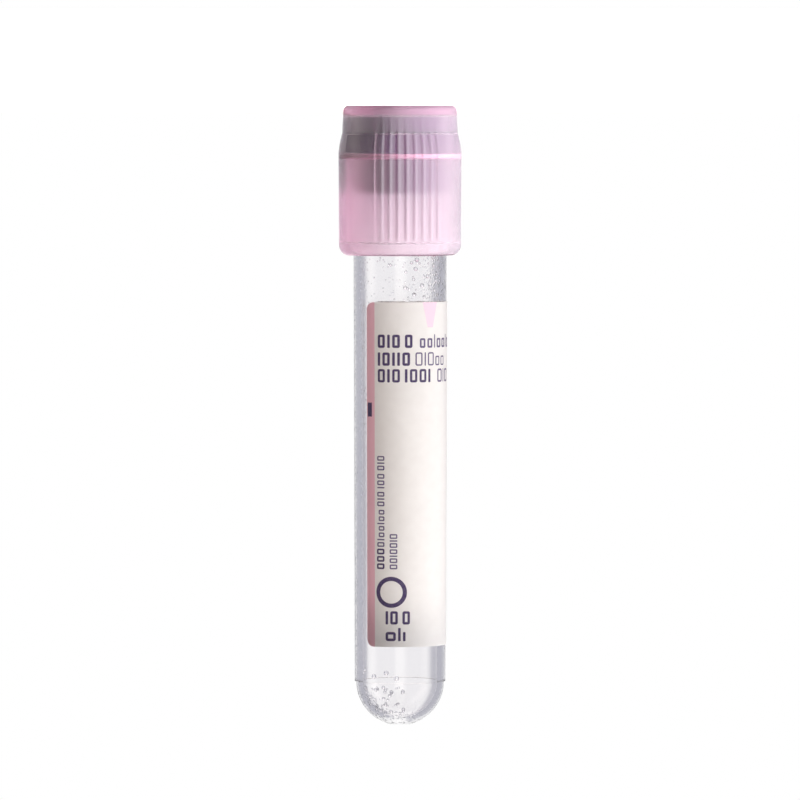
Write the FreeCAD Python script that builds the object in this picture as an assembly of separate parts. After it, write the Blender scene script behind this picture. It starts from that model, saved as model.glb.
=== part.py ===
"""Blood collection tube: a round-bottomed PET tube under vacuum, with a rubber stopper in a plastic shield.

Every piece is drawn with the closure up, the tube's axis on Z, the lowest point of the round bottom at zero
and the front of the label at -Y.  Angles round the tube are counted from the front, positive to the right.
A round bottom can't stand and a tube on its side rolls, so the finished pieces are turned over together: the
tube stands on the flat top of its closure, its round bottom up and its front still at -Y.
"""

import FreeCAD, Part
import math
import os

# --- tube (mm) ---
TUBE_LENGTH = 75.0          # from the round bottom to the rim
TUBE_FOOT_R = 6.03          # outer radius of the straight foot
TUBE_MOUTH_R = 6.20         # outer radius at the rim, after the mould's draft
FOOT_LOW = 5.7              # the parting ledge, where the dome meets the foot
FOOT_HIGH = 10.4            # end of the straight foot, below the label
DOME_R = 5.83               # outer radius of the round bottom
GATE_FLAT_R = 1.6           # flat left by the gate under the dome
BORE_MOUTH_R = 5.20         # straight seat for the stopper
BORE_SEAT_LOW = 68.5        # lower end of that seat
BORE_FOOT_R = 5.00          # bore radius where the round inside begins
RIM_ROUND = 0.3
LEDGE_ROUND = 0.08

# --- label (mm, degrees) ---
LABEL_LOW = 10.6
LABEL_HIGH = 56.1
LABEL_THICK = 0.10
LABEL_FROM = -44.6          # the edge seen at the front left
LABEL_SWEEP = 266.0         # round the right side and the back
LABEL_CORNER = 1.0          # radius of its corners
CORNER_BITE = 0.97          # a corner's centre in from the edges, as a share of its radius

# --- stopper (mm) ---
PLUG_CLEARANCE = 0.03       # radial, standing for the rubber's squeeze in the bore
PLUG_LOW = 70.3
PLUG_ROUND = 0.6
PLUG_DISH_R = 3.2           # shallow dish under the plug
PLUG_DISH_DEEP = 0.9
NECK_R = 6.15               # sits on the tube's rim
FLANGE_R = 7.25
FLANGE_LOW = 75.6
FLANGE_HIGH = 78.3
FLANGE_BEVEL = 0.25
HEAD_R = 6.50
HEAD_HIGH = 80.6
WELL_R = 3.20               # straight part of the needle well
WELL_LOW = 76.6             # where its straight wall ends and its round end begins
WELL_END_DEEP = 1.2

# --- closure shield (mm) ---
SHIELD_LOW = 62.2
SHIELD_HIGH = 82.0
SKIRT_LOW_R = 8.08
SKIRT_HIGH_R = 8.15
SKIRT_ROUND = 1.35          # outer corner of the skirt's lower edge
SHOULDER_LOW = 75.8
SHOULDER_HIGH = 78.4
SHOULDER_BULGE = 0.06       # how far the cone between skirt and collar swells
COLLAR_LOW_R = 7.65
COLLAR_HIGH_R = 7.50
COLLAR_ROUND = 0.7
LIP_R = 6.60                # inner radius of the thick lower lip
LIP_HIGH = 63.9
SKIRT_INNER_R = 7.20
LEDGE_LOW = 75.05           # ring that holds the stopper's flange from below
LEDGE_R = 6.35
POCKET_GAP = 0.05           # radial room round the stopper's flange and head
TOP_HOLE_R = 4.75           # hole over the needle well
TOP_HOLE_ROUND = 0.25

# --- grip ribs (mm, degrees) ---
RIB_PITCH = 7.9
RIB_COUNT = 8
RIB_FIRST = (-17.3, 162.7)  # first rib of each of the two groups
RIB_LOW = 64.5              # where its crest begins
RIB_PROUD = 0.20
RIB_END_TAPER = 0.35        # length over which a rib runs out at its ends
RIB_ROOT_HALF = 0.30        # half width where it leaves the skirt
RIB_CREST_HALF = 0.14       # half width at its crest
RIB_ROOT_DEEP = 0.30        # how far its root reaches into the wall

# --- dried additive (mm, degrees): drops on the inner wall as (angle, height, radius) ---
DROP_SIDES = 8
DROP_STEPS = ((1.0, 0.0), (0.82, 0.30), (0.42, 0.52))   # a drop's radius and rise, as shares of its radius
DROP_SEAT = 0.01            # gap under a drop's rim
DROPS = (
    (24, 61.7, 0.30), (16, 61.3, 0.22), (22, 60.5, 0.30), (8, 60.1, 0.22), (41, 59.5, 0.30),
    (19, 59.1, 0.22), (32, 58.3, 0.30), (7, 58.0, 0.26), (20, 57.1, 0.30), (35, 56.8, 0.22),
    (-13, 61.0, 0.20), (52, 60.9, 0.24), (58, 59.9, 0.26), (63, 60.6, 0.24), (57, 58.9, 0.26),
    (66, 58.2, 0.24), (54, 57.6, 0.24), (60, 57.0, 0.26), (68, 59.4, 0.22), (72, 60.3, 0.24),
    (112, 60.8, 0.26), (128, 57.9, 0.24), (140, 59.2, 0.26), (152, 61.0, 0.24), (165, 57.4, 0.22),
    (-62, 60.3, 0.22), (-68, 57.9, 0.22), (-64, 53.2, 0.22), (-58, 55.4, 0.22), (-60, 50.1, 0.22),
    (-66, 46.3, 0.22), (-20, 7.1, 0.34), (-40, 6.6, 0.34), (-58, 7.4, 0.32), (-5, 6.4, 0.34),
    (-80, 6.9, 0.34),
)

OVERSIZE = 3.0              # how far cutting solids reach past what they cut


def turned(edges):
    """Solid of revolution round Z of a closed profile in the X-Z plane."""
    face = Part.Face(Part.Wire(Part.__sortEdges__(edges)))
    return face.revolve(FreeCAD.Vector(0, 0, 0), FreeCAD.Vector(0, 0, 1), 360)


def at(radius, height):
    """A profile point."""
    return FreeCAD.Vector(radius, 0, height)


def path(*points):
    """Straight edges through (radius, height) points."""
    ends = [at(*p) for p in points]
    return [Part.LineSegment(a, b).toShape() for a, b in zip(ends, ends[1:])]


def arc(start, middle, end):
    """An arc edge through three (radius, height) points."""
    return Part.Arc(at(*start), at(*middle), at(*end)).toShape()


def corner(centre, radius, start_deg, end_deg):
    """A round corner: an arc edge about a centre, and its two ends."""
    points = []
    for angle in (start_deg, 0.5 * (start_deg + end_deg), end_deg):
        a = math.radians(angle)
        points.append((centre[0] + radius * math.cos(a), centre[1] + radius * math.sin(a)))
    return arc(*points), points[0], points[2]


def cap(radius, height, sag):
    """A shallow dome about the axis: an arc edge from the axis at height + sag out to radius at height."""
    ball_r = (radius**2 + sag**2) / (2 * abs(sag))
    centre = height + sag - math.copysign(ball_r, sag)
    half = 0.5 * math.asin(radius / ball_r)
    middle = (ball_r * math.sin(half), centre + math.copysign(ball_r * math.cos(half), sag))
    return arc((0, height + sag), middle, (radius, height))


def around(angle):
    """Turn about Z that brings the front (-Y) to an angle round the tube."""
    return FreeCAD.Placement(FreeCAD.Vector(0, 0, 0), FreeCAD.Rotation(FreeCAD.Vector(0, 0, 1), angle))


def outer_r(height):
    """Outer radius of the tube's drafted wall, above its straight foot."""
    share = (height - FOOT_HIGH) / (TUBE_LENGTH - RIM_ROUND - FOOT_HIGH)
    return TUBE_FOOT_R + share * (TUBE_MOUTH_R - TUBE_FOOT_R)


def bore_r(height):
    """Bore radius of the drafted wall, above the round inside."""
    share = (height - FOOT_LOW) / (BORE_SEAT_LOW - FOOT_LOW)
    return BORE_FOOT_R + share * (BORE_MOUTH_R - BORE_FOOT_R)


def bore_edges():
    """Profile of the tube's inside, from the axis at the bottom to the top of the bore."""
    bottom = FOOT_LOW - BORE_FOOT_R
    diagonal = BORE_FOOT_R * math.sqrt(0.5)
    dome = arc((0, bottom), (diagonal, FOOT_LOW - diagonal), (BORE_FOOT_R, FOOT_LOW))
    mouth = (BORE_MOUTH_R, TUBE_LENGTH - RIM_ROUND)
    return [dome] + path((BORE_FOOT_R, FOOT_LOW), (BORE_MOUTH_R, BORE_SEAT_LOW), mouth)


def make_tube():
    """Moulded tube: gate flat, round bottom, parting ledge, straight foot, drafted wall, rounded rim."""
    # the dome's arc ends where it meets the gate flat
    dome_centre = math.sqrt(DOME_R**2 - GATE_FLAT_R**2)
    mid = math.radians(-45)
    dome = arc(
        (GATE_FLAT_R, 0),
        (DOME_R * math.cos(mid), dome_centre + DOME_R * math.sin(mid)),
        (DOME_R, dome_centre),
    )
    ledge_centre = (TUBE_FOOT_R - LEDGE_ROUND, FOOT_LOW + LEDGE_ROUND)
    ledge, ledge_in, ledge_out = corner(ledge_centre, LEDGE_ROUND, -90, 0)
    rim_z = TUBE_LENGTH - RIM_ROUND
    outer_rim, rim_low, rim_top = corner((TUBE_MOUTH_R - RIM_ROUND, rim_z), RIM_ROUND, 0, 90)
    inner_rim, mouth_top, mouth_low = corner((BORE_MOUTH_R + RIM_ROUND, rim_z), RIM_ROUND, 90, 180)
    outside = path((0, FOOT_LOW - BORE_FOOT_R), (0, 0), (GATE_FLAT_R, 0))
    outside += [dome] + path((DOME_R, dome_centre), (DOME_R, FOOT_LOW), ledge_in) + [ledge]
    outside += path(ledge_out, (TUBE_FOOT_R, FOOT_HIGH), rim_low) + [outer_rim]
    outside += path(rim_top, mouth_top) + [inner_rim]
    return turned(outside + bore_edges())


def label_corner(angle, height, turn, rise):
    """What a rounded label corner leaves out, as a radial prism: a square less a disc that overlaps it."""
    r = LABEL_CORNER
    centre = CORNER_BITE * r
    deep = 2 * OVERSIZE
    back = OVERSIZE - TUBE_FOOT_R - deep
    square = Part.makeBox(centre + r, deep, centre + r, FreeCAD.Vector(-r, back, -r))
    disc = Part.makeCylinder(r, deep, FreeCAD.Vector(centre, back, centre), FreeCAD.Vector(0, 1, 0))
    tool = square.cut(disc)
    # drawn for a lower left corner, and mirrored for the others
    if turn < 0:
        tool = tool.mirror(FreeCAD.Vector(0, 0, 0), FreeCAD.Vector(1, 0, 0))
    if rise < 0:
        tool = tool.mirror(FreeCAD.Vector(0, 0, 0), FreeCAD.Vector(0, 0, 1))
    tool.translate(FreeCAD.Vector(0, 0, height))
    tool.rotate(FreeCAD.Vector(0, 0, 0), FreeCAD.Vector(0, 0, 1), angle)
    return tool


def make_label():
    """Film label: a thin conical sheet on the tube's wall, with its four corners rounded."""
    low_r = outer_r(LABEL_LOW)
    high_r = outer_r(LABEL_HIGH)
    section = path(
        (low_r, LABEL_LOW),
        (low_r + LABEL_THICK, LABEL_LOW),
        (high_r + LABEL_THICK, LABEL_HIGH),
        (high_r, LABEL_HIGH),
        (low_r, LABEL_LOW),
    )
    face = Part.Face(Part.Wire(section))
    face.rotate(FreeCAD.Vector(0, 0, 0), FreeCAD.Vector(0, 0, 1), LABEL_FROM - 90)
    sheet = face.revolve(FreeCAD.Vector(0, 0, 0), FreeCAD.Vector(0, 0, 1), LABEL_SWEEP)
    far_edge = LABEL_FROM + LABEL_SWEEP
    for angle, turn in ((LABEL_FROM, 1), (far_edge, -1)):
        for height, rise in ((LABEL_LOW, 1), (LABEL_HIGH, -1)):
            sheet = sheet.cut(label_corner(angle, height, turn, rise))
    return sheet


def make_stopper():
    """Rubber stopper: dished plug in the bore, neck on the rim, flange, head with its needle well."""
    plug_r = BORE_MOUTH_R - PLUG_CLEARANCE
    plug_end, plug_in, plug_out = corner((plug_r - PLUG_ROUND, PLUG_LOW + PLUG_ROUND), PLUG_ROUND, -90, 0)
    dish = cap(PLUG_DISH_R, PLUG_LOW, PLUG_DISH_DEEP)
    well_end = cap(WELL_R, WELL_LOW, -WELL_END_DEEP)
    outside = [dish] + path((PLUG_DISH_R, PLUG_LOW), plug_in) + [plug_end]
    outside += path(
        plug_out,
        (plug_r, TUBE_LENGTH),
        (NECK_R, TUBE_LENGTH),
        (NECK_R, FLANGE_LOW),
        (FLANGE_R, FLANGE_LOW),
        (FLANGE_R, FLANGE_HIGH - FLANGE_BEVEL),
        (FLANGE_R - FLANGE_BEVEL, FLANGE_HIGH),
        (HEAD_R, FLANGE_HIGH),
        (HEAD_R, HEAD_HIGH),
        (WELL_R, HEAD_HIGH),
        (WELL_R, WELL_LOW),
    )
    axis = path((0, WELL_LOW - WELL_END_DEEP), (0, PLUG_LOW + PLUG_DISH_DEEP))
    return turned(outside + [well_end] + axis)


def shoulder(proud=0.0):
    """The slightly swollen slope from the skirt in to the collar, or a line proud of it."""
    middle = (
        0.5 * (SKIRT_HIGH_R + COLLAR_LOW_R) + SHOULDER_BULGE + proud,
        0.5 * (SHOULDER_LOW + SHOULDER_HIGH),
    )
    return arc((SKIRT_HIGH_R + proud, SHOULDER_LOW), middle, (COLLAR_LOW_R + proud, SHOULDER_HIGH))


def make_ribs():
    """Two groups of grip ribs, cut from a ring that stands proud of the skirt and shoulder."""
    root_low = SKIRT_LOW_R - RIB_ROOT_DEEP
    root_shoulder = COLLAR_LOW_R - RIB_ROOT_DEEP
    ring = turned(
        path(
            (root_low, SHOULDER_LOW),
            (root_low, RIB_LOW - RIB_END_TAPER),
            (SKIRT_LOW_R, RIB_LOW - RIB_END_TAPER),
            (SKIRT_LOW_R + RIB_PROUD, RIB_LOW),
            (SKIRT_HIGH_R + RIB_PROUD, SHOULDER_LOW),
        )
        + [shoulder(RIB_PROUD)]
        + path(
            (COLLAR_LOW_R + RIB_PROUD, SHOULDER_HIGH),
            (COLLAR_LOW_R, SHOULDER_HIGH + RIB_END_TAPER),
            (root_shoulder, SHOULDER_HIGH),
            (root_low, SHOULDER_LOW),
        )
    )
    inner = root_shoulder - OVERSIZE
    crest = SKIRT_HIGH_R + RIB_PROUD
    slope = (RIB_ROOT_HALF - RIB_CREST_HALF) / RIB_PROUD
    tip = crest + 0.5 * RIB_CREST_HALF / slope
    inner_half = RIB_CREST_HALF + slope * (crest - SKIRT_HIGH_R + RIB_ROOT_DEEP)
    tip_half = 0.5 * RIB_CREST_HALF
    section = [
        FreeCAD.Vector(-RIB_ROOT_HALF, -inner, 0),
        FreeCAD.Vector(RIB_ROOT_HALF, -inner, 0),
        FreeCAD.Vector(inner_half, RIB_ROOT_DEEP - SKIRT_HIGH_R, 0),
        FreeCAD.Vector(tip_half, -tip, 0),
        FreeCAD.Vector(-tip_half, -tip, 0),
        FreeCAD.Vector(-inner_half, RIB_ROOT_DEEP - SKIRT_HIGH_R, 0),
        FreeCAD.Vector(-RIB_ROOT_HALF, -inner, 0),
    ]
    wedge = Part.Face(Part.makePolygon(section)).extrude(FreeCAD.Vector(0, 0, SHIELD_HIGH))
    rib = ring.common(wedge)
    ribs = []
    for first in RIB_FIRST:
        for n in range(RIB_COUNT):
            one = rib.copy()
            one.Placement = around(first + n * RIB_PITCH)
            ribs.append(one)
    return ribs


def make_shield():
    """Moulded shield: skirt with a thick lip, ring under the flange, collar, top with a hole, ribs."""
    skirt_end, lip_bottom, skirt_low = corner(
        (SKIRT_LOW_R - SKIRT_ROUND, SHIELD_LOW + SKIRT_ROUND), SKIRT_ROUND, -90, 0
    )
    collar_end, collar_high, top_out = corner(
        (COLLAR_HIGH_R - COLLAR_ROUND, SHIELD_HIGH - COLLAR_ROUND), COLLAR_ROUND, 0, 90
    )
    hole_end, top_in, hole_high = corner(
        (TOP_HOLE_R + TOP_HOLE_ROUND, SHIELD_HIGH - TOP_HOLE_ROUND), TOP_HOLE_ROUND, 90, 180
    )
    pocket_r = FLANGE_R + POCKET_GAP
    head_r = HEAD_R + POCKET_GAP
    edges = [skirt_end] + path(skirt_low, (SKIRT_HIGH_R, SHOULDER_LOW)) + [shoulder()]
    edges += path((COLLAR_LOW_R, SHOULDER_HIGH), collar_high) + [collar_end]
    edges += path(top_out, top_in) + [hole_end]
    edges += path(
        hole_high,
        (TOP_HOLE_R, HEAD_HIGH),
        (head_r, HEAD_HIGH),
        (head_r, FLANGE_HIGH),
        (pocket_r - FLANGE_BEVEL, FLANGE_HIGH),
        (pocket_r, FLANGE_HIGH - FLANGE_BEVEL),
        (pocket_r, FLANGE_LOW),
        (LEDGE_R, FLANGE_LOW),
        (LEDGE_R, LEDGE_LOW),
        (SKIRT_INNER_R, LEDGE_LOW),
        (SKIRT_INNER_R, LIP_HIGH),
        (LIP_R, LIP_HIGH),
        (LIP_R, SHIELD_LOW),
        lip_bottom,
    )
    return turned(edges).fuse(make_ribs()).removeSplitter()


def make_drop(angle, height, radius):
    """One dried drop: a faceted dome whose flat underside faces the wall."""
    sag = bore_r(height) - math.sqrt(bore_r(height)**2 - radius**2)
    rings = []
    for share, rise in DROP_STEPS:
        corners = []
        for n in range(DROP_SIDES + 1):
            a = 2 * math.pi * n / DROP_SIDES
            y = sag + DROP_SEAT + rise * radius - bore_r(height)
            corners.append(FreeCAD.Vector(share * radius * math.cos(a), y, share * radius * math.sin(a)))
        rings.append(Part.makePolygon(corners))
    drop = Part.makeLoft(rings, True, True)
    drop.translate(FreeCAD.Vector(0, 0, height))
    drop.rotate(FreeCAD.Vector(0, 0, 0), FreeCAD.Vector(0, 0, 1), angle)
    return drop


def make_additive():
    """Dried drops on the inner wall, thickest near the closure."""
    return Part.makeCompound([make_drop(*drop) for drop in DROPS])


def stand_on_closure(shape):
    """Turn a finished piece over, so that the closure's top is on the bench and the front stays at -Y."""
    shape.rotate(FreeCAD.Vector(0, 0, 0), FreeCAD.Vector(0, 1, 0), 180)
    shape.translate(FreeCAD.Vector(0, 0, SHIELD_HIGH))
    return shape


def main():
    pieces = {
        "tube": make_tube(),
        "stopper": make_stopper(),
        "closure_shield": make_shield(),
        "label": make_label(),
        "dried_additive": make_additive(),
    }
    os.makedirs("parts", exist_ok=True)
    for name, shape in pieces.items():
        stand_on_closure(shape).exportStep(f"parts/{name}.step")


main()
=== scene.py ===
"""Blood collection tube: clear PET tube, rubber stopper, pink shield, wrapped label and dried additive.

Every piece is modelled closure up, as the tube is held, in millimetres above its round bottom.  It is
then turned over into its place: the tube stands on the flat top of its closure.  Angles round the tube
are counted from the front of the label, positive to the right.
"""

import bmesh
import bpy
import math
import random
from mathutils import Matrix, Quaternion, Vector


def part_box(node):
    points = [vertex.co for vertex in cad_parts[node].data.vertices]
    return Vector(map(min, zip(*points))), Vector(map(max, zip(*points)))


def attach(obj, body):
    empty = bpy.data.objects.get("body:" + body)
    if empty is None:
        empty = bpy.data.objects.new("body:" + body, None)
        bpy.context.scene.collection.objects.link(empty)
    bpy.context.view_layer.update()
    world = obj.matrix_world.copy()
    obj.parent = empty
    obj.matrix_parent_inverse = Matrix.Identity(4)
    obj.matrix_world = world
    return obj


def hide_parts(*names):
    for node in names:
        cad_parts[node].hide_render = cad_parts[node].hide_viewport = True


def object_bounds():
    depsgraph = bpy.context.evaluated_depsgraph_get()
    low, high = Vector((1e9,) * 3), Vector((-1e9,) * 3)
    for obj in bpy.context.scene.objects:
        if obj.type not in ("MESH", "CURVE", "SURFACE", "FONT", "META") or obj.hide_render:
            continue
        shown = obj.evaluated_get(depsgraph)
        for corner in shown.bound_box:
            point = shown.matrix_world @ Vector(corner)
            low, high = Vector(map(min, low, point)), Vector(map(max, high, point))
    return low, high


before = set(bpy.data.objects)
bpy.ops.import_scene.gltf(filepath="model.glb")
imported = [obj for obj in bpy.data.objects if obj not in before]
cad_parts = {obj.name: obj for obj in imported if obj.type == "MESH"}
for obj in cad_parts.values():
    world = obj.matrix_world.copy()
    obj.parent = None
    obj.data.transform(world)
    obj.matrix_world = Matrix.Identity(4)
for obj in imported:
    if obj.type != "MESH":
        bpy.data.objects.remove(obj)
cad_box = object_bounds()

MM = 0.001
MERGE = 0.001 * MM                      # vertices nearer than this are one
SLACK = 0.01                            # mm of slack when vertices are picked by their place
ARC_STEP = 7.5                          # degrees of a drawn arc to one edge
TOP = cad_box[1].z / MM                 # the whole height, closure up
TUBE_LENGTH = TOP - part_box("tube")[0].z / MM

# --- tube (mm) ---
MOUTH_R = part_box("tube")[1].x / MM      # outer radius at the rim
FOOT_R = 6.03                           # outer radius of the straight foot
FOOT_LOW = 5.7                          # parting ledge
FOOT_HIGH = 10.4
DOME_R = 5.83
GATE_FLAT_R = 1.6
BORE_MOUTH_R = 5.20
BORE_SEAT_LOW = 68.5
BORE_FOOT_R = 5.00
RIM_ROUND = 0.3
LEDGE_ROUND = 0.08
TUBE_STEPS = 256

# --- stopper (mm) ---
PLUG_LOW = 70.3
PLUG_ROUND = 0.6
DISH_R = 3.2
DISH_DEEP = 0.9
NECK_R = 6.15
FLANGE_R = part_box("stopper")[1].x / MM
FLANGE_LOW = 75.6
FLANGE_HIGH = 78.3
HEAD_R = 6.50
POCKET_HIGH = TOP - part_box("stopper")[0].z / MM
WELL_R = 3.2
WELL_LOW = 76.6
WELL_END_DEEP = 1.2
RUBBER_ROUND = 0.25                     # edges of the flange and head
FLANGE_SQUEEZE = 0.9937                 # a little smaller than its pocket, the flange sits off centre in it
FLANGE_SHIFT = 0.12
FLANGE_TOUCH = -35.0                    # angle at which it presses on the shield's wall
OVERLAP = 0.02                          # how far pressed rubber sinks into what it touches
HEAD_GAP = 0.12                         # room left over the head
STOPPER_STEPS = 160

# --- shield (mm, degrees) ---
SHIELD_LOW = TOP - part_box("closure_shield")[1].z / MM
SKIRT_LOW_R = 8.08
SKIRT_HIGH_R = 8.15
SKIRT_ROUND = 1.35
SHOULDER_LOW = 75.8
SHOULDER_HIGH = 78.4
COLLAR_LOW_R = 7.65
COLLAR_HIGH_R = 7.50
COLLAR_ROUND = 0.7
LIP_R = 6.60
LIP_HIGH = 63.9
SKIRT_INNER_R = 7.20
LEDGE_LOW = 75.05
LEDGE_R = 6.35
POCKET_R = 7.30
HEAD_POCKET_R = 6.55
TOP_HOLE_R = 4.75
TOP_HOLE_ROUND = 0.25
SHOULDER_BULGE = 0.06
SHOULDER_STEPS = 5
MOULD_ROUND = 0.12                      # small inner edges
SHIELD_STEPS = 456
RIB_COLUMNS = 10                        # spin steps from one rib to the next
RIB_COUNT = 8
RIB_FIRST = -17.37                      # the first rib of a group; the other group is opposite
RIB_LOW = 64.5
RIB_TAPER = 0.35                        # length over which a rib runs out
RIB_RISE = {0: 0.15, 1: 0.13, 2: 0.06}  # by columns from the rib's crest

# --- label (mm, degrees) ---
LABEL_LOW = 10.6
LABEL_HIGH = 56.1
LABEL_FROM = -44.6
LABEL_SWEEP = 266.0
LABEL_THICK = 0.10
LABEL_CORNER = 1.0
LABEL_DIP = 0.35                        # how far the top edge dips round the back
LABEL_CORNER_STEPS = 6
WRAP_STEP = 2.0                         # degrees between the sheet's columns

# --- print (mm; a place is u, along the sheet from its left edge, and a height) ---
INK_LIFT = 0.006                        # height of the print over the sheet
STRIPE_WIDE = 1.26                      # coloured stripe along the sheet's left edge
WEDGE_LEFT = 7.7
WEDGE_RIGHT = 10.06
WEDGE_LOW = 52.8
WEDGE_TIP = 0.36                        # how wide its low end is, as a share of its high end
FILL_MARK = ((0.16, 41.0), (0.85, 42.85))
RING_PLACE = (3.55, 17.85)
RING_R = 2.05
RING_STROKE = 0.55
RING_STEPS = 48
PRINT_LEFT = 1.5                        # where the rows start
PRINT_RIGHT = 13                        # beyond the last row
CAPITAL = (0.98, 1.75)                  # wide and high, as the next five
SMALL = (0.80, 1.25)
BAR = (0.33, 1.75)
THIN_BAR = (0.18, 1.75)
TINY = (0.62, 1.0)
TINY_LOW = (0.62, 0.8)
TINY_BAR = (0.17, 1.0)
BLOCK_CORNER = 0.25                     # a block's rounding, as a share of its shorter side
BLOCK_CORNER_STEPS = 3
SOLID_UNDER = 2.2                       # a block is inked solid up to this many strokes wide

# --- dried additive (mm) ---
DROP_SEAT = 0.01                        # gap under a drop
DROP_HIGH = 0.7                         # a drop's height, as a share of its radius
DROP_SEGMENTS = 8
DROP_RINGS = 6
SPRAY_SEED = 7
SPRAY = (                               # count, angles, heights and radii of the finer drops
    (36, (2, 75), (55, 62), (0.08, 0.16)),
    (44, (75, 200), (53, 62), (0.08, 0.16)),
    (40, (-60, 5), (56, 62), (0.06, 0.12)),
    (70, (-110, -50), (38, 62), (0.07, 0.15)),
    (110, (-120, 10), (1.2, 5.2), (0.12, 0.26)),
    (24, (60, 110), (8, 14), (0.08, 0.14)),
)

# --- looks (mm; places as it stands, closure down: Z over the floor, +X on the camera's left) ---
SALT_GRAIN = 0.15
RUBBER_GRAIN = 0.25
RUBBER_RISE = 0.01
FILM_MOTTLE = 1.2
INK_MOTTLE = 0.3
MIST_WITHIN = 5.5                       # radius that parts the tube's inner face from its outer one
MIST_CELL = 0.40                        # from bump to bump: coarser than real mist, so that it shows
MIST_DOME = (0.45, 0.1)                 # a bump's foot and flat top, as shares of the cell
MIST_RISE = 0.018
MIST_UNDER_CLOSURE = ((36, 24), (1, -3))  # it grows from the first Z, and X, to the second
MIST_IN_BOTTOM = ((76.5, 79), (-3, 0))
MIST_DOWN_LEFT = (3.6, 4.4)             # by X alone
MIST_LEFT_SHARE = 0.3
HAZE_WITHIN = 7.42                      # radius that parts the shield's hazy inside from its outside
PLATE_FADE = (0.1, -0.3)                # Z from its top plate's inner face: the plate's look none, and full
PAINTED_GLOW_HALF = 0.28                      # half the height of the ledge ring under the flange, painted paler and less clear: partly its solid plastic, partly a painted bright line of light

# --- studio (m, degrees, W) ---
FLOOR_R = 2.0
CARD_HALF = 0.04                        # the card's tone changes from this far left to this far right
WHITE_SIDES = 4                         # of the tent, with a grey panel between each two
PANEL_TURN = 2.5                        # how far they are turned
PANEL_EDGE = (0.3, 0.8)                 # cosine at which a panel ends, and a white side begins
SOFT_BEARING = 62                       # soft lamp: to the right of the camera
SOFT_ELEVATION = 38
SOFT_WIDE = 0.9
SOFT_HIGH = 0.5
SOFT_POWER = 14.1
SPOTS = (                               # name, bearing, height lit, beam, power and colour
    ("closure_lamp", 66, 0.006, 2.2, 96, "#F6FAFF"),
    ("label_lamp", 4, 0.042, 3.4, 26, "#FFF8F0"),
)
SPOT_RAISE = 0.044                      # how far a spot hangs over the height that it lights
SPOT_EDGE = 0.5                         # share of the beam over which it fades
BACK_LIGHT = (-0.25, 0.97, 0.0)         # where most of the tent's light on matt surfaces comes from
CAMERA_AWAY = 0.95
CAMERA_HEIGHT = 0.0015
CAMERA_AIM = 0.039
PICTURE_WIDTH = 0.106                   # what the picture's width shows at the tube
SENSOR = 36                             # mm


def tube_r(height):
    """Outer radius of the tube's drafted wall."""
    share = (height - FOOT_HIGH) / (TUBE_LENGTH - RIM_ROUND - FOOT_HIGH)
    return FOOT_R + max(0.0, share) * (MOUTH_R - FOOT_R)


# ---------------------------------------------------------------- modelling

def new_piece(name):
    """Names the object just added."""
    piece = bpy.context.object
    piece.name = name
    piece.data.name = name
    return piece


def pick(piece, test):
    """In edit mode, selects only the vertices whose place passes the test."""
    shape = bmesh.from_edit_mesh(piece.data)
    for vertex in shape.verts:
        vertex.select = test(vertex.co / MM)
    shape.select_flush_mode()
    bmesh.update_edit_mesh(piece.data)


def draw_section(name, start, strokes):
    """Draws half a section on the X-Z plane, from a first vertex at (radius, height).

    A stroke of two numbers is a line to (radius, height).  One of three is an arc about the centre
    (radius, height) through that many degrees, from +X towards +Z when positive.
    """
    bpy.ops.object.select_all(action="DESELECT")
    bpy.ops.mesh.primitive_plane_add(size=MM)
    piece = new_piece(name)
    bpy.ops.object.mode_set(mode="EDIT")
    bpy.ops.mesh.select_mode(type="VERT")
    bpy.ops.mesh.merge(type="CENTER")
    bpy.ops.transform.translate(value=(start[0] * MM, 0, start[1] * MM))
    pen = Vector((start[0], 0, start[1]))
    for stroke in strokes:
        target = Vector((stroke[0], 0, stroke[1]))
        if len(stroke) == 2:
            bpy.ops.mesh.extrude_region_move(TRANSFORM_OT_translate={"value": (target - pen) * MM})
            pen = target
        else:
            angle = math.radians(stroke[2])
            steps = max(3, math.ceil(abs(stroke[2]) / ARC_STEP))
            bpy.ops.mesh.spin(steps=steps, angle=angle, center=target * MM, axis=(0, 1, 0))
            pen = target + Quaternion((0, -1, 0), angle) @ (pen - target)
    return piece


def spin_section(steps):
    """Spins the section just drawn into a solid of revolution."""
    bpy.ops.mesh.select_all(action="SELECT")
    bpy.ops.mesh.remove_doubles(threshold=MERGE)
    bpy.ops.mesh.spin(steps=steps, angle=math.tau, center=(0, 0, 0), axis=(0, 0, 1), use_auto_merge=True)
    bpy.ops.mesh.select_all(action="SELECT")
    bpy.ops.mesh.remove_doubles(threshold=MERGE)
    bpy.ops.mesh.normals_make_consistent(inside=False)


def settle(piece, body, material, node=None, smooth=35):
    """Turns a finished piece over into its place and joins it to the frame."""
    if piece.mode == "EDIT":
        bpy.ops.object.mode_set(mode="OBJECT")
    bpy.ops.object.select_all(action="DESELECT")
    piece.select_set(True)
    bpy.context.view_layer.objects.active = piece
    piece.rotation_euler = (0, math.pi, 0)
    piece.location = (0, 0, TOP * MM)
    bpy.ops.object.transform_apply(location=True, rotation=True, scale=True)
    bpy.ops.object.shade_smooth_by_angle(angle=math.radians(smooth))
    piece.data.materials.clear()
    piece.data.materials.append(material)
    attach(piece, body)
    if node:
        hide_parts(node)


def bowl(radius, deep):
    """Radius of the ball that a shallow round hollow is cut by, and the degrees of its half arc."""
    ball = (radius**2 + deep**2) / (2 * deep)
    return ball, math.degrees(math.asin(radius / ball))


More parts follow.
